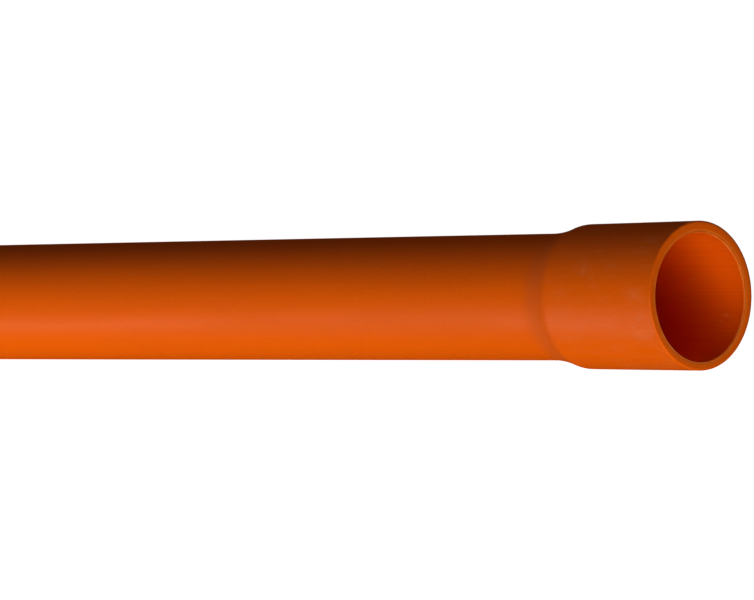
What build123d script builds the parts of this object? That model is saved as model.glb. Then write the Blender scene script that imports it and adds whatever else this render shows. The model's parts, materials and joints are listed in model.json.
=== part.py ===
"""Straight length of heavy-duty PVC-U electrical conduit with a belled socket at one end, in millimetres.

The conduit is one extruded tube. Its bell is the tube's own end, heated and pushed over a mandrel, so the
whole product is a single solid of revolution about X:

    plain end          barrel                          flare   socket    mouth
    |__________________________________________________..--'''''''''''''|
    x = -conduit_length                                                 x = 0, opening towards +X

The origin is the centre of the mouth and +X points out of it. +Z is up.
"""

import os

from build123d import *

# Tube: nominal 25 mm, heavy duty.
conduit_length = 300.0  # mouth to plain end, cut from stock
tube_od = 25.0
tube_wall = 2.2

# Socket: takes the plain end of the next length, so its bore follows tube_od.
socket_depth = 28.0  # mouth to the foot of the bore, where the next length stops
socket_clearance = 0.1  # room for the cement, on the diameter
mouth_wall = 1.9  # the mandrel stretches the tube, so the bell's wall is thinner than the barrel's
root_wall = 1.65  # and thinnest by the flare, where the stretching is done

# Flare: the reverse curve between barrel and socket.
flare_length = 11.0
hollow_share = 0.9  # share of the flare in the long hollow arc; the rest is the tight shoulder

# Finished edges.
mouth_bevel_depth = 0.7  # dished inner half of the mouth's rim, across the wall
mouth_bevel_length = 0.3  # and along the axis
mouth_edge_radius = 0.25  # outer edge of the mouth
spigot_chamfer = 0.5  # outer edge of the plain end
spigot_deburr = 0.3  # inner edge of the plain end

# Worked out: radii.
barrel_r = tube_od / 2
wireway_r = barrel_r - tube_wall
socket_bore_r = (tube_od + socket_clearance) / 2
mouth_r = socket_bore_r + mouth_wall
root_r = socket_bore_r + root_wall

# Worked out: stations along the axis.
plain_end_x = -conduit_length
socket_foot_x = -socket_depth
flare_start_x = socket_foot_x - flare_length


def reverse_curve(start, end):
    """Flare from start to end: a hollow arc leaves the barrel, and a tight round one turns it into the socket."""
    change_over = (
        start[0] + hollow_share * (end[0] - start[0]),
        start[1] + hollow_share * (end[1] - start[1]),
    )
    hollow_arc = TangentArc(start, change_over, tangent=(1, 0))
    TangentArc(change_over, end, tangent=hollow_arc % 1)


def outer_surface():
    """Outside of the wall, from the plain end to the mouth."""
    chamfer_end = (plain_end_x + spigot_chamfer, barrel_r)
    flare_start = (flare_start_x, barrel_r)
    flare_end = (socket_foot_x, root_r)
    Polyline((plain_end_x, barrel_r - spigot_chamfer), chamfer_end, flare_start)
    reverse_curve(flare_start, flare_end)
    Line(flare_end, (0, mouth_r))


def inner_surface():
    """Inside of the wall, from the mouth back to the plain end."""
    bevel_end = (-mouth_bevel_length, socket_bore_r)
    flare_start = (flare_start_x, wireway_r)
    flare_end = (socket_foot_x, socket_bore_r)
    deburr_end = (plain_end_x + spigot_deburr, wireway_r)
    Polyline((0, socket_bore_r + mouth_bevel_depth), bevel_end, flare_end)
    reverse_curve(flare_start, flare_end)
    Polyline(flare_start, deburr_end, (plain_end_x, wireway_r + spigot_deburr))


def cut_ends():
    """Flat rings at the mouth and at the plain end, square to the axis."""
    Line((0, mouth_r), (0, socket_bore_r + mouth_bevel_depth))
    Line((plain_end_x, barrel_r - spigot_chamfer), (plain_end_x, wireway_r + spigot_deburr))


def belled_conduit():
    """The conduit: the wall's section turned about the axis."""
    with BuildPart() as conduit:
        with BuildSketch(Plane.XY):
            with BuildLine():
                outer_surface()
                inner_surface()
                cut_ends()
            make_face()
            mouth_corner = vertices().group_by(Axis.X)[-1].sort_by(Axis.Y)[-1]
            fillet(mouth_corner, mouth_edge_radius)
        revolve(axis=Axis.X)
    return conduit.part


os.makedirs("parts", exist_ok=True)
export_step(belled_conduit(), "parts/belled_conduit.step")
print(f"barrel {tube_od:.2f} mm outside, {2 * wireway_r:.2f} mm bore")
print(f"socket {2 * socket_bore_r:.2f} mm bore, {2 * root_r:.2f} mm outside at the foot, {2 * mouth_r:.2f} mm at the mouth")
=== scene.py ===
# %% [markdown]
# # A length of belled conduit
#
# The object is a straight length of rigid orange electrical conduit. One end is plain, and the other has been
# heated and pushed over a mandrel, so it widens into a socket that takes the plain end of the next length.
# It is all one piece of plastic. This lesson turns that piece as one fine surface, gives it three finishes
# (the extruded skin, the bore and the sawn ends), lights it softly and sets the camera.

# %% Load the CAD model
import json
import math

import bpy
import numpy as np
from mathutils import Matrix, Vector


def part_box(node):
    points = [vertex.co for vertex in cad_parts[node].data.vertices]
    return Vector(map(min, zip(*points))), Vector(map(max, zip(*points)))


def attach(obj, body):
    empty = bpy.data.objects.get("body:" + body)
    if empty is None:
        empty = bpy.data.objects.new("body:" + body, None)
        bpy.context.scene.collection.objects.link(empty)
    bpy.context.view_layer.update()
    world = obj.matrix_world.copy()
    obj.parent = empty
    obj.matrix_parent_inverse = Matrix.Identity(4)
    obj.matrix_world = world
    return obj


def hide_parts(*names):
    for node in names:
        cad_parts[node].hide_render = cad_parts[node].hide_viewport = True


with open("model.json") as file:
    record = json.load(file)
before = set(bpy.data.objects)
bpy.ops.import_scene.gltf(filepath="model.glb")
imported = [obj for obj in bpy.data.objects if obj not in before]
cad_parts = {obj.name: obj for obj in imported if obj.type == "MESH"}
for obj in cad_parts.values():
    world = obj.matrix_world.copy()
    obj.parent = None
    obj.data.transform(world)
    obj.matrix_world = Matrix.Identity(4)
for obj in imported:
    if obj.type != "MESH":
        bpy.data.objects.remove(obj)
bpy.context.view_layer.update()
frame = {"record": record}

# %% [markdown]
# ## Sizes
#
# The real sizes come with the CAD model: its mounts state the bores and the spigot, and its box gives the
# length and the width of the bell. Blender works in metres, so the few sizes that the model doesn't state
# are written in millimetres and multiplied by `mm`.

mm = 0.001
mounts = {mount["name"]: mount["dims"] for mount in frame["record"]["mounts"]}
low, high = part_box("belled_conduit")

length = high[0] - low[0]
mouth_r = min(-low[1], high[1], -low[2], high[2])
tube_r = mounts["spigot"]["r_mm"] * mm
wireway_r = mounts["wireway"]["r_mm"] * mm
socket_r = mounts["socket"]["r_mm"] * mm
bevel_length = 0.3 * mm
flare_length = 11 * mm
foot_wall = 1.65 * mm
socket_foot = -mounts["socket"]["length_mm"] * mm - bevel_length
flare_start = socket_foot - flare_length
foot_r = socket_r + foot_wall
print(f"conduit {length / mm:.0f} mm long, tube {2 * tube_r / mm:.1f} mm, bell {2 * mouth_r / mm:.1f} mm")

# %% [markdown]
# ## The section of the wall
#
# Everything on this object is round about one axis, so its shape is one closed outline in the plane of
# distance along the axis and distance from it. It could be drawn as a curve and spun with a Screw modifier.
# Working it out as an array of points keeps every size exact, and lets the turned surface be uneven later.
#
# The flare between tube and socket is two arcs. A long hollow one leaves the tube with no corner, and a
# tight round one, the shoulder, turns it back parallel. Hot plastic drawn over a mandrel does just this.
# The shoulder outside comes a little before the one inside, because the wall thins as it stretches.

# %% The flare's reverse curve
def reverse_curve(start, end, hollow_share=0.85, steps=26):
    """Two arcs from start to end, both level where they leave and meeting with one slope.

    With k = atan(rise / run), an arc that turns through 2k and spans `run` has radius run / sin(2k). On the
    hollow arc x = x0 + R sin t and r = r0 + R (1 - cos t), with t from 0 to 2k. The shoulder is the same
    curve turned end for end.
    """
    (x0, r0), (x1, r1) = start, end
    turn = 2 * math.atan2(r1 - r0, x1 - x0)
    hollow_radius = hollow_share * (x1 - x0) / math.sin(turn)
    shoulder_radius = (1 - hollow_share) * (x1 - x0) / math.sin(turn)
    t = np.linspace(0, turn, steps)
    hollow = np.stack([x0 + hollow_radius * np.sin(t), r0 + hollow_radius * (1 - np.cos(t))], axis=1)
    t = t[-2::-2]
    shoulder = np.stack([x1 - shoulder_radius * np.sin(t), r1 - shoulder_radius * (1 - np.cos(t))], axis=1)
    return np.concatenate([hollow, shoulder])


shoulder_lead = 0.4 * mm
flare_outside = reverse_curve((flare_start, tube_r), (socket_foot - shoulder_lead, foot_r))
flare_inside = reverse_curve((flare_start, wireway_r), (socket_foot, socket_r))[::-1]
print(f"flare of {len(flare_outside)} points, rising {(foot_r - tube_r) / mm:.2f} mm")

# %% [markdown]
# ## Eased corners
#
# No edge of a real conduit is perfectly sharp. The saw leaves an edge that the fitter's knife and handling
# have eased, and a fine bright line runs along it where it catches the light. Each corner of the outline
# becomes a small Bezier curve. A point on each side holds the flat beside it flat when the shading is
# smoothed, which is what an extra edge loop does when modelling by hand.

# %% Ease a corner of the outline
def eased(before, corner, after, ease, steps=6, hold=0.4):
    """Points round a corner: B(t) = (1-t)^2 A + 2t(1-t) corner + t^2 C, with A and C `ease` away from it.

    The points that hold the flats are `hold` times the ease further out.
    """
    before, corner, after = map(np.array, (before, corner, after))
    arrive = (before - corner) / np.linalg.norm(before - corner)
    leave = (after - corner) / np.linalg.norm(after - corner)
    start, end = corner + ease * arrive, corner + ease * leave
    t = np.linspace(0, 1, steps)[:, None]
    bend = (1 - t) ** 2 * start + 2 * t * (1 - t) * corner + t**2 * end
    return np.concatenate([[start + hold * ease * arrive], bend, [end + hold * ease * leave]])


# %% [markdown]
# ## The whole outline
#
# The corners are listed in order round the wall: along the outside from the plain end to the mouth, over
# the rim, and back through the bore. The mouth's rim is a flat band, then a shallow groove that the knife
# has scraped, then a fine raised lip at the bore's edge, and it is the lip that catches the light.

# %% Corners of the outline
plain_end = -length
chamfer = 0.5 * mm
deburr = 0.3 * mm
edge_r = socket_r + 0.65 * mm
groove_r = socket_r + 0.30 * mm
lip_r = socket_r + 0.14 * mm
groove_depth = 0.11 * mm
lip_drop = 0.05 * mm

corners = [
    (plain_end, wireway_r + deburr),
    (plain_end, tube_r - chamfer),
    (plain_end + chamfer, tube_r),
    tuple(flare_outside[0]),
    tuple(flare_outside[-1]),
    (0.0, mouth_r),
    (0.0, edge_r),
    (-groove_depth, groove_r),
    (-lip_drop, lip_r),
    (-bevel_length, socket_r),
    tuple(flare_inside[0]),
    tuple(flare_inside[-1]),
    (plain_end + deburr, wireway_r),
]
print(f"{len(corners)} corners round the wall")

# %% [markdown]
# Long straight stretches get rings of points at an even spacing. They keep the faces from becoming
# needles, and near the mouth they let the surface be pushed about a little. They stop just short of the
# eased corners, so that each finish ends where its corner does. Two helpers make such a stretch and such
# a corner.

# %% Helpers for the runs
def straight(start, end, steps, short):
    """Evenly spaced points on the way from start to end, stopping `short` of both."""
    start, end = np.array(start), np.array(end)
    way = np.linalg.norm(end - start)
    t = np.linspace(short / way, 1 - short / way, steps)[:, None]
    return start + t * (end - start)


def corner(k, ease, **how):
    """Corner k of the outline, eased; its neighbours are the corners listed before and after it."""
    return eased(corners[k - 1], corners[k], corners[(k + 1) % len(corners)], ease, **how)


barrel_length = corners[3][0] - corners[2][0]
print(f"the barrel's straight stretch is {barrel_length / mm:.1f} mm long")

# %% [markdown]
# The outline is put together from runs, each with its finish. The mouth's outer edge is a run of its own,
# "worn", because it is eased more on one side than on the other when the outline is turned.

# %% Put the outline together
fine_ease = 0.08 * mm
chamfer_ease = 0.15 * mm
skin_ease = 0.2 * mm
worn_ease = 0.5 * mm
edge_ease = 0.1 * mm
groove_ease = 0.07 * mm
lip_ease = 0.06 * mm

runs = [
    ("sawn", corner(0, fine_ease)),
    ("sawn", corner(1, chamfer_ease)),
    ("sawn", corner(2, skin_ease)),
    ("skin", straight(corners[2], corners[3], 40, short=0.35 * mm)),
    ("skin", flare_outside),
    ("skin", straight(corners[4], corners[5], 16, short=1.6 * mm)),
    ("worn", corner(5, worn_ease, steps=9, hold=0.1)),
    ("sawn", corner(6, edge_ease)),
    ("sawn", corner(7, groove_ease)),
    ("sawn", corner(8, lip_ease)),
    ("sawn", corner(9, fine_ease)),
    ("bore", straight(corners[9], corners[10], 20, short=0.2 * mm)),
    ("bore", flare_inside),
    ("bore", straight(corners[11], corners[12], 40, short=0.35 * mm)),
    ("sawn", corner(12, fine_ease)),
]
outline = np.concatenate([points for _, points in runs])
finish_of = np.concatenate([[name] * len(points) for name, points in runs])
worn = finish_of == "worn"
finish_of[worn] = "sawn"
print(f"outline of {len(outline)} points in {len(runs)} runs")

# %% [markdown]
# ## Turning it
#
# The outline is carried round the axis on a grid: one row for each point of the outline, one column for
# each step round. Both directions close on themselves, so the surface is a ring with no seam and no poles.
#
# Five small faults of the real thing go in here, all strongest at the mouth and gone at the socket's foot.
# The wall is thicker on one side, because the mandrel went in a little off centre. The rim has drawn in
# slightly as it cooled, and its cut isn't quite square to the axis. Where the fitter dressed it with a file,
# its face slopes outwards and catches more of the key light. Its outer edge is worn rounder on the side away
# from the camera. None of them is more than a millimetre, but without them the rim looks drawn with a
# compass.

# %% Turn the outline into a surface
turns = 320
off_centre = 0.5 * mm
thick_side = math.radians(-20)
drawn_in = 0.18 * mm
out_of_square = 1.0 * mm
short_side = math.radians(120)
worn_side = math.radians(-60)
uneven_wear = 0.6
dressed_slope = 0.12
dressed_side = math.radians(175)
rim_depth = 1.5 * mm


def turned(outline, worn):
    """Grid of points: the outline's point at x and r goes to (x, r cos a, r sin a), for each turn a.

    The faults shift x and r a little first. Each fades with the distance from the mouth, and all but the
    drawing in vary as a cosine of the turn from their own side.
    """
    a = np.linspace(0, 2 * math.pi, turns, endpoint=False)
    x, r = outline[:, :1], outline[:, 1:]
    spread = np.where(worn[:, None], 1 + uneven_wear * np.cos(a - worn_side), 1)
    x, r = spread * x, mouth_r + spread * (r - mouth_r)
    near_mouth = np.clip(1 - x / socket_foot, 0, 1)
    near_rim = np.clip(1 + x / rim_depth, 0, 1) ** 2
    inside = np.clip((mouth_r - r) / (mouth_r - lip_r), 0, 1)
    r = r - inside * (off_centre * np.cos(a - thick_side) * near_mouth + drawn_in * near_rim)
    dressed = np.clip(np.cos(a - dressed_side), 0, 1) ** 2
    x = x + dressed_slope * dressed * (mouth_r - r) * near_rim
    x = x - out_of_square * (1 + np.cos(a - short_side)) / 2 * near_mouth
    return np.stack([x, r * np.cos(a), r * np.sin(a)], axis=-1)


grid = turned(outline, worn)
print(f"grid of {grid.shape[0]} x {grid.shape[1]} points")

# %% [markdown]
# ## From grid to mesh
#
# Each cell of the grid is a face with four corners, numbered so that it faces outwards. Whole arrays go
# into the mesh at once, which is far quicker than adding faces one by one. A face takes the finish of the
# ring that it starts from, as a material slot.

# %% Build the mesh
finishes = ["skin", "sawn", "bore"]


def closed_grid_mesh(name, grid, slot_of_row):
    """Mesh of a grid that closes both ways: cell (i, j) joins (i, j), (i, j+1), (i+1, j+1) and (i+1, j)."""
    rows, columns, _ = grid.shape
    i, j = np.meshgrid(np.arange(rows), np.arange(columns), indexing="ij")
    i_next, j_next = (i + 1) % rows, (j + 1) % columns
    first, second = i * columns + j, i * columns + j_next
    third, fourth = i_next * columns + j_next, i_next * columns + j
    quads = np.stack([first, second, third, fourth], axis=-1).reshape(-1, 4)
    mesh = bpy.data.meshes.new(name)
    mesh.from_pydata(grid.reshape(-1, 3), [], quads)
    mesh.polygons.foreach_set("use_smooth", np.ones(len(quads), bool))
    mesh.polygons.foreach_set("material_index", np.repeat(slot_of_row, columns))
    return mesh


slot_of_row = np.array([finishes.index(name) for name in finish_of], dtype=np.int32)
conduit_mesh = closed_grid_mesh("conduit", grid, slot_of_row)
conduit = bpy.data.objects.new("conduit", conduit_mesh)
bpy.context.scene.collection.objects.link(conduit)
print(f"{len(conduit_mesh.polygons)} faces; rings of each finish: {np.bincount(slot_of_row)}")

# %% [markdown]
# ## Nodes
#
# The finishes are worked out by shader nodes from the point's own place on the object, so nothing slides
# when the object or the camera moves. Adding and wiring nodes by hand takes many lines, so a few short
# helpers do it. An input can be a number, a colour or another node's output.

# %% Node helpers
class Nodes:
    """Short ways to add nodes to one node tree."""

    def __init__(self, tree):
        self.tree = tree

    def feed(self, socket, value):
        if isinstance(value, bpy.types.NodeSocket):
            self.tree.links.new(value, socket)
        else:
            socket.default_value = value

    def add(self, kind, operation=None, **inputs):
        node = self.tree.nodes.new(kind)
        if operation:
            node.operation = operation
        for name, value in inputs.items():
            self.feed(node.inputs[name.replace("_", " ")], value)
        return node

    def calculate(self, operation, *values):
        node = self.add("ShaderNodeMath", operation)
        for socket, value in zip(node.inputs, values):
            self.feed(socket, value)
        return node.outputs["Value"]

    def rise(self, value, start, end, low=0.0, high=1.0):
        """Smooth step: low up to start, high from end on."""
        limits = {"From_Min": start, "From_Max": end, "To_Min": low, "To_Max": high}
        node = self.add("ShaderNodeMapRange", Value=value, **limits)
        node.interpolation_type = "SMOOTHSTEP"
        return node.outputs["Result"]

    def blend(self, amount, a, b):
        """Colour a where the amount is 0, and b where it is 1."""
        node = self.add("ShaderNodeMix")
        node.data_type = "RGBA"
        factor, first, second = node.inputs[0], node.inputs[6], node.inputs[7]
        for socket, value in ((factor, amount), (first, a), (second, b)):
            self.feed(socket, value)
        return node.outputs[2]

    def noise(self, vector, scale=1.0, detail=2.0):
        return self.add("ShaderNodeTexNoise", Vector=vector, Scale=scale, Detail=detail).outputs[0]


print("node helpers ready")

# %% [markdown]
# A round object has natural directions of its own: along the axis, out from it, and round it. Painting
# with those makes lines run true to the way the tube was made. An angle would jump from a full turn to
# nothing somewhere on the back, so "round" is kept as a direction of length one, which has no seam.

# %% The point's place on a round object
class RoundNodes(Nodes):
    """Nodes that know the point's place along, out from and round the axis."""

    def __init__(self, tree):
        super().__init__(tree)
        self.place = self.add("ShaderNodeTexCoord").outputs["Object"]
        parts = self.add("ShaderNodeSeparateXYZ", Vector=self.place).outputs
        self.along = parts["X"]
        self.across = self.add("ShaderNodeCombineXYZ", Y=parts["Y"], Z=parts["Z"]).outputs[0]
        self.radius = self.add("ShaderNodeVectorMath", "LENGTH", Vector=self.across).outputs["Value"]
        self.outward = self.add("ShaderNodeVectorMath", "NORMALIZE", Vector=self.across).outputs[0]

    def wrapped(self, along=0.0, around=0.0, out=0.0):
        """Pattern coordinates on the surface: each number says how often the pattern changes that way."""
        lengthwise = self.calculate("MULTIPLY", self.along, along)
        lengthwise = self.calculate("MULTIPLY_ADD", self.radius, out, lengthwise)
        ring = self.add("ShaderNodeVectorMath", "SCALE", Vector=self.outward, Scale=around).outputs[0]
        line = self.add("ShaderNodeCombineXYZ", X=lengthwise).outputs[0]
        sum_of_both = self.add("ShaderNodeVectorMath", "ADD")
        self.feed(sum_of_both.inputs[0], ring)
        self.feed(sum_of_both.inputs[1], line)
        return sum_of_both.outputs[0]

    def distance(self, place, point):
        """Distance from a vector output to a fixed point."""
        gap = self.add("ShaderNodeVectorMath", "DISTANCE")
        self.feed(gap.inputs[0], place)
        self.feed(gap.inputs[1], point)
        return gap.outputs["Value"]

    def near(self, x, turn, r, reach):
        """1 on the surface at x, turned by `turn` degrees, and 0 from `reach` away."""
        turn = math.radians(turn)
        gap = self.distance(self.place, (x, r * math.cos(turn), r * math.sin(turn)))
        return self.rise(gap, 0.1 * reach, reach, 1.0, 0.0)


print("place helpers ready")

# %% [markdown]
# A finish is one material on a round object. It is made in two steps: first its shader with the values that
# are the same all over, then, once its colours and patterns are worked out, the wiring into the shader.

# %% A finish
class Finish(RoundNodes):
    """A material in the making."""

    def __init__(self, name, roughness, specular):
        self.material = bpy.data.materials.new(name)
        self.material.use_nodes = True
        super().__init__(self.material.node_tree)
        self.shader = self.tree.nodes["Principled BSDF"]
        self.shader.inputs["Specular IOR Level"].default_value = specular
        self.roughness = roughness

    def complete(self, colour, shine, height, depth, swing=0.07):
        """Wire up the colour, a roughness that swings with `shine`, and a bump of `height` times `depth`."""
        bump = self.add("ShaderNodeBump", Height=height, Distance=depth, Strength=1.0)
        varied = self.rise(shine, 0.3, 0.7, self.roughness - swing, self.roughness + swing)
        self.feed(self.shader.inputs["Base Color"], colour)
        self.feed(self.shader.inputs["Roughness"], varied)
        self.feed(self.shader.inputs["Normal"], bump.outputs[0])


print("finish helper ready")

# %% [markdown]
# ## The extruded skin
#
# The tube comes out of a die, is sized while soft and drawn off, so its skin is satin with a very fine
# grain, faint lines along its length and slow patches where it cooled unevenly. Heating it again for the
# bell dulls it in a band over the flare, and leaves a faint pale bloom on the bell. The band is also painted
# darker where the flare's hollow turns from the light, so it is partly dulled finish and partly painted
# shade.

# %% Skin: colour
orange = (0.87, 0.112, 0.0001, 1)
dull_orange = (0.78, 0.098, 0.0004, 1)
heated_and_shaded_orange = (0.68, 0.106, 0.0180, 1)
pale_orange = (0.95, 0.165, 0.003, 1)
scuff_and_highlight_pink = (0.88, 0.34, 0.16, 1)

skin = Finish("extruded skin", roughness=0.43, specular=0.06)
patches = skin.noise(skin.wrapped(along=14, around=1.3), detail=3)
draw_lines = skin.noise(skin.wrapped(along=5, around=34), detail=3)
grain = skin.noise(skin.place, 2600)

colour = skin.blend(skin.rise(patches, 0.35, 0.65, 0, 0.5), orange, dull_orange)
colour = skin.blend(skin.rise(draw_lines, 0.35, 0.75, 0, 0.35), colour, dull_orange)
colour = skin.blend(skin.rise(grain, 0.35, 0.75, 0, 0.26), colour, pale_orange)

# Darker, greyer band over the flare: partly the dulling of reheating, partly painted shade of the hollow.
entering = skin.rise(skin.along, flare_start + 2 * mm, flare_start + 6 * mm)
leaving = skin.rise(skin.along, socket_foot - 4 * mm, socket_foot + 0.5 * mm, 1, 0)
heat_and_shade_strength = 0.40
heat_and_shade_band = skin.calculate("MULTIPLY", entering, leaving)
colour = skin.blend(skin.calculate("MULTIPLY", heat_and_shade_band, heat_and_shade_strength), colour, heated_and_shaded_orange)
on_the_bell = skin.rise(skin.along, socket_foot - 4 * mm, socket_foot + 4 * mm)
haze = skin.rise(skin.noise(skin.wrapped(along=170, around=7), detail=4), 0.42, 0.68)
bloom_strength = 0.04
bloom = skin.calculate("MULTIPLY", on_the_bell, haze)
colour = skin.blend(skin.calculate("MULTIPLY", bloom, bloom_strength), colour, scuff_and_highlight_pink)
print("skin colour: patches, draw lines, grain, heat band, bloom on the bell")

# %% [markdown]
# Handling leaves scuffs. On orange plastic they show pale, as short fine strokes in small groups. The
# groups are listed, mostly on the bell, which stands proud of the barrel and rubs on everything.
# Inside each group a stretched noise, cut off high, leaves only a few strokes, over a little of the bloom's
# haze. One group, the wide one near the mouth on the bell's near lower side, is no scuff but a painted
# highlight: a soft pale patch where the bell catches the light.

# %% Skin: scuffs, and a painted highlight on the bell
def scuffs(finish, r, places, strokes):
    """Strength of pale marks in groups (scuffs, and on the bell one painted highlight): the strokes inside
    groups given as x and reach in mm, and turn in degrees.
    """
    total = 0.0
    for x, turn, reach in places:
        total = finish.calculate("MAXIMUM", total, finish.near(x * mm, turn, r, reach * mm))
    return finish.calculate("MULTIPLY", total, strokes)


bell_scuffs_and_highlight = [(-20, 98, 2.8), (-15.5, 106, 3), (-12.5, 101, 3), (-17, 80, 2), (-5, 76, 4), (-5, 122, 3)]
# The group at -4.3 mm, turned 146 degrees, is a painted highlight, a soft pale patch where the bell catches
# the light.
bell_scuffs_and_highlight += [(-4.3, 146, 4.5), (-9, 200, 6), (-14, 290, 7), (-6, 20, 6)]
barrel_scuffs = [(-90, 255, 9), (-200, 300, 12), (-240, 60, 12), (-285, 170, 5)]
strokes = skin.rise(skin.noise(skin.wrapped(along=500, around=18), detail=5), 0.46, 0.72)
strokes = skin.calculate("MAXIMUM", strokes, skin.calculate("MULTIPLY", haze, 0.4))
bell_marks_and_highlight = scuffs(skin, mouth_r, bell_scuffs_and_highlight, strokes)
barrel_marks = scuffs(skin, tube_r, barrel_scuffs, strokes)
scuffs_and_highlight = skin.calculate("MAXIMUM", bell_marks_and_highlight, barrel_marks)
scuff_and_highlight_strength = 0.18
colour = skin.blend(skin.calculate("MULTIPLY", scuffs_and_highlight, scuff_and_highlight_strength), colour, scuff_and_highlight_pink)
height = skin.calculate("MULTIPLY_ADD", draw_lines, 0.7, grain)
height = skin.calculate("MULTIPLY_ADD", scuffs_and_highlight, -0.6, height)
skin.complete(colour, patches, height, 0.016 * mm)
print(f"{len(bell_scuffs_and_highlight) + len(barrel_scuffs)} groups of scuffs on the skin")

# %% [markdown]
# ## The sawn ends
#
# The saw travels round the tube as it cuts, so it leaves fine rings and a dry, matt face. The knife that
# cleans the mouth's inner edge scrapes the plastic paler, and pushes up a fine burr that is paler still. Both
# follow the opening, so they are measured from the opening's own centre, which is a little off the axis.
# The burr's pale line is painted stronger on the near lower side of the mouth, where the lip's edge catches
# the light, so there it is a painted highlight as well as a burr.

# %% Sawn ends
sawn_orange = (1.00, 0.138, 0.0010, 1)
scraped_orange = (1.00, 0.180, 0.0120, 1)
burr_and_highlight_pink = (1.00, 0.330, 0.0650, 1)

sawn = Finish("sawn plastic", roughness=0.6, specular=0.06)
saw_rings = sawn.noise(sawn.wrapped(out=9000, around=2.0), detail=2)
chatter = sawn.noise(sawn.wrapped(out=900, around=26), detail=2)
colour = sawn.blend(sawn.rise(saw_rings, 0.35, 0.7, 0, 0.18), sawn_orange, dull_orange)
colour = sawn.blend(sawn.rise(chatter, 0.5, 0.8, 0, 0.2), colour, scraped_orange)
opening_centre = (0, -off_centre * math.cos(thick_side), -off_centre * math.sin(thick_side))
from_centre = sawn.distance(sawn.across, opening_centre)
at_mouth = sawn.rise(sawn.along, -3 * mm, -2 * mm)
uneven = sawn.rise(sawn.noise(sawn.wrapped(around=5.0, out=600), detail=3), 0.3, 0.65, 0.35, 0.95)
ring = sawn.rise(from_centre, lip_r + 0.3 * mm, lip_r + 0.55 * mm, 1, 0)
scraped = sawn.calculate("MULTIPLY", ring, at_mouth)
colour = sawn.blend(sawn.calculate("MULTIPLY", scraped, uneven), colour, scraped_orange)
lip = sawn.rise(from_centre, lip_r - 0.15 * mm, lip_r + 0.1 * mm, 1, 0)
burr_and_highlight = sawn.calculate("MULTIPLY", lip, at_mouth)
# Stronger near the turn of 185 degrees: a painted highlight along the lip, on top of the burr's own paleness.
burr_and_highlight_strength = sawn.rise(sawn.near(0.0, 185, socket_r, 14 * mm), 0, 1, 0.3, 0.9)
burr_and_highlight_strength = sawn.calculate("MULTIPLY", burr_and_highlight_strength, uneven)
colour = sawn.blend(sawn.calculate("MULTIPLY", burr_and_highlight, burr_and_highlight_strength), colour, burr_and_highlight_pink)
height = sawn.calculate("MULTIPLY_ADD", chatter, 0.8, saw_rings)
sawn.complete(colour, chatter, height, 0.02 * mm)
print("sawn ends: rings, chatter, pale lip")

# %% [markdown]
# ## The bore
#
# The inside never touches the sizing die, so it stays smoother and a little deeper in colour. The core pin
# leaves faint lines along it, and tubes pushed into the socket have scratched it near the mouth. Inwards it
# leans toward red, since light there has bounced many times and a render follows only a few of the bounces.

# %% Bore
bore_orange = (0.97, 0.120, 0.0004, 1)
deep_orange = (0.88, 0.088, 0.0003, 1)
inner_red = (0.88, 0.030, 0.0002, 1)

bore = Finish("drawn bore", roughness=0.5, specular=0.05)
pin_lines = bore.noise(bore.wrapped(along=10, around=46), detail=3)
clouds = bore.noise(bore.wrapped(along=60, around=2.2), detail=3)
colour = bore.blend(bore.rise(pin_lines, 0.35, 0.7, 0, 0.7), bore_orange, deep_orange)
colour = bore.blend(bore.rise(clouds, 0.4, 0.7, 0, 0.35), colour, deep_orange)
inward = bore.rise(bore.along, -24 * mm, -6 * mm, 0.75, 0)
colour = bore.blend(inward, colour, inner_red)
socket_scuffs = [(-13, 311, 2.2), (-5, 277, 2.6), (-1.5, 350, 2), (-9, 20, 3), (-12, 200, 5), (-4, 120, 4)]
strokes = bore.rise(bore.noise(bore.wrapped(along=800, around=24), detail=4), 0.52, 0.68)
scratched = scuffs(bore, socket_r, socket_scuffs, strokes)
scratch_strength = 0.30
colour = bore.blend(bore.calculate("MULTIPLY", scratched, scratch_strength), colour, scuff_and_highlight_pink)
bore.complete(colour, clouds, pin_lines, 0.015 * mm)
print("bore: pin lines, clouds, scuffs")

# %% [markdown]
# ## Hand the piece over
#
# The conduit is one rigid piece, so it rides on the object's root and stands in for the whole CAD part, with
# its three finishes in its material slots.

# %% Place the conduit
for finish in (skin, sawn, bore):
    conduit_mesh.materials.append(finish.material)
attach(conduit, "root")
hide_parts("belled_conduit")
print(f"slots: {[material.name for material in conduit_mesh.materials]}")

# %% [markdown]
# ## Floor
#
# The conduit lies on plain white paper that runs out of sight. The paper glows evenly and is hidden from
# the object's own rays, so it is white all over and throws nothing back: no shadow, no reflection.

# %% Floor
floor_reach = 30.0
floor_mesh = bpy.data.meshes.new("floor")
floor_corners = [(x * floor_reach, y * floor_reach, low[2]) for x, y in ((-1, -1), (1, -1), (1, 1), (-1, 1))]
floor_mesh.from_pydata(floor_corners, [], [(0, 1, 2, 3)])
floor = bpy.data.objects.new("floor", floor_mesh)
bpy.context.scene.collection.objects.link(floor)

paper = bpy.data.materials.new("white paper")
paper.use_nodes = True
paper_inputs = paper.node_tree.nodes["Principled BSDF"].inputs
paper_inputs["Base Color"].default_value = (0.3, 0.3, 0.3, 1)
paper_inputs["Roughness"].default_value = 0.9
paper_inputs["Specular IOR Level"].default_value = 0.0
paper_inputs["Emission Color"].default_value = (1, 1, 1, 1)
paper_inputs["Emission Strength"].default_value = 1.0
floor_mesh.materials.append(paper)
floor.visible_diffuse = floor.visible_glossy = floor.visible_shadow = False
print(f"floor at z = {low[2] / mm:.2f} mm")

# %% [markdown]
# ## Camera
#
# The camera stands off the mouth's end, high up, with its image plane's upright square to the conduit. A
# long lens keeps the barrel's sides almost parallel. It is placed by two distances, along the axis and out
# from it, and leans by half a degree, as a hand-held camera does.

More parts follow.
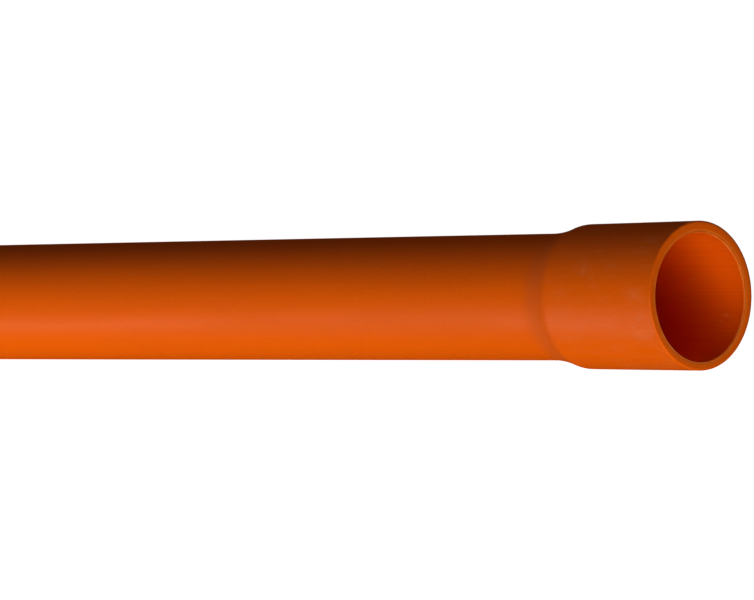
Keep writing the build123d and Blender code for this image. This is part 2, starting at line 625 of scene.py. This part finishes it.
# %% Camera
turn_up = math.radians(60)
camera_along, camera_out = 677.2 * mm, 771.5 * mm
aim_along, aim_down = -88.4 * mm, 0.27 * mm
lean = math.radians(0.538)

toward_camera = Vector((0, -math.cos(turn_up), math.sin(turn_up)))
image_up = Vector((0, math.sin(turn_up), math.cos(turn_up)))
place = Vector((camera_along, 0, 0)) + camera_out * toward_camera
aim = Vector((aim_along, 0, 0)) - aim_down * image_up
back = (place - aim).normalized()
right = image_up.cross(back).normalized()
upright = Matrix((right, back.cross(right), back)).transposed()

camera = bpy.data.objects.new("camera", bpy.data.cameras.new("camera"))
camera.data.sensor_width, camera.data.lens = 36, 255.0
camera.data.clip_start, camera.data.clip_end = 0.01, 100
camera.matrix_world = Matrix.Translation(place) @ (upright @ Matrix.Rotation(-lean, 3, "Z")).to_4x4()
bpy.context.scene.collection.objects.link(camera)
bpy.context.scene.camera = camera
print(f"camera {(place - aim).length:.2f} m away, lens {camera.data.lens:.0f} mm")

# %% [markdown]
# ## Lights
#
# A broad softbox on the near side, toward the mouth, makes the soft fall from lit to dark round the barrel
# and reaches a little way into the socket. It stands much lower than the camera, so the far upper side goes
# dark and shows how round the tube is. A small lamp close to the barrel makes it a little brighter toward
# the plain end. A softbox from behind keeps the back from going black.
#
# The narrow band of shine along the barrel comes from a lamp that only the gloss sees. The broad fill and
# the back light do the opposite: they light the surface and make no shine.

# %% Softboxes
def softbox(name, aim_x, axial, turn, distance, width, height, power):
    """Area light aimed at the axis at aim_x.

    It stands in the direction (axial, s cos turn, s sin turn), where s is the square root of 1 - axial^2.
    """
    across = math.sqrt(1 - axial**2)
    turn = math.radians(turn)
    direction = Vector((axial, across * math.cos(turn), across * math.sin(turn)))
    data = bpy.data.lights.new(name, "AREA")
    data.shape, data.size, data.size_y, data.energy = "RECTANGLE", width, height, power
    lamp = bpy.data.objects.new(name, data)
    lamp_place = Vector((aim_x, 0, 0)) + distance * direction
    tangent = Vector((0, -math.sin(turn), math.cos(turn)))
    facing = Matrix((tangent.cross(direction), tangent, direction)).transposed()
    lamp.matrix_world = Matrix.Translation(lamp_place) @ facing.to_4x4()
    lamp.visible_camera = False
    bpy.context.scene.collection.objects.link(lamp)
    print(f"{name}: {power} W, {width} x {height} m")
    return lamp


softbox("key", -60 * mm, axial=0.57, turn=166, distance=3.0, width=2.6, height=2.4, power=68)
fill = softbox("fill", -60 * mm, axial=-0.7, turn=170, distance=3.0, width=1.5, height=1.5, power=17)
fill.visible_glossy = False
sheen = softbox("sheen", -60 * mm, axial=-0.7, turn=164, distance=3.0, width=0.7, height=0.7, power=12)
sheen.visible_diffuse = False
softbox("near lamp", -240 * mm, axial=0.0, turn=157, distance=0.3, width=0.15, height=0.25, power=0.26)
back_light = softbox("back", -150 * mm, axial=-0.75, turn=-60, distance=2.5, width=1.2, height=1.0, power=85)
back_light.visible_glossy = False

# %% [markdown]
# The world gives the even light of a pale room, stronger from above than from below, and dim beyond the
# mouth. Little of it shines straight into the socket, so most light there has bounced from wall to wall,
# and each bounce off orange plastic leaves it redder. Rays that come straight from the camera see white.

# %% World
world = bpy.data.worlds.new("studio")
world.use_nodes = True
bpy.context.scene.world = world
world.cycles_visibility.glossy = False
studio = Nodes(world.node_tree)
way = studio.add("ShaderNodeTexCoord").outputs["Generated"]
way_parts = studio.add("ShaderNodeSeparateXYZ", Vector=way).outputs
dim, pale, white = (0.05, 0.05, 0.05, 1), (0.13, 0.13, 0.13, 1), (1, 1, 1, 1)
room = studio.blend(studio.rise(way_parts["Z"], -0.25, 0.25), dim, pale)
room = studio.blend(studio.rise(way_parts["X"], 0.2, 0.8), room, dim)
seen = studio.add("ShaderNodeLightPath").outputs["Is Camera Ray"]
studio.feed(world.node_tree.nodes["Background"].inputs["Color"], studio.blend(seen, room, white))
bpy.context.scene.view_settings.view_transform = "Standard"
print("world: pale room, white to the camera")
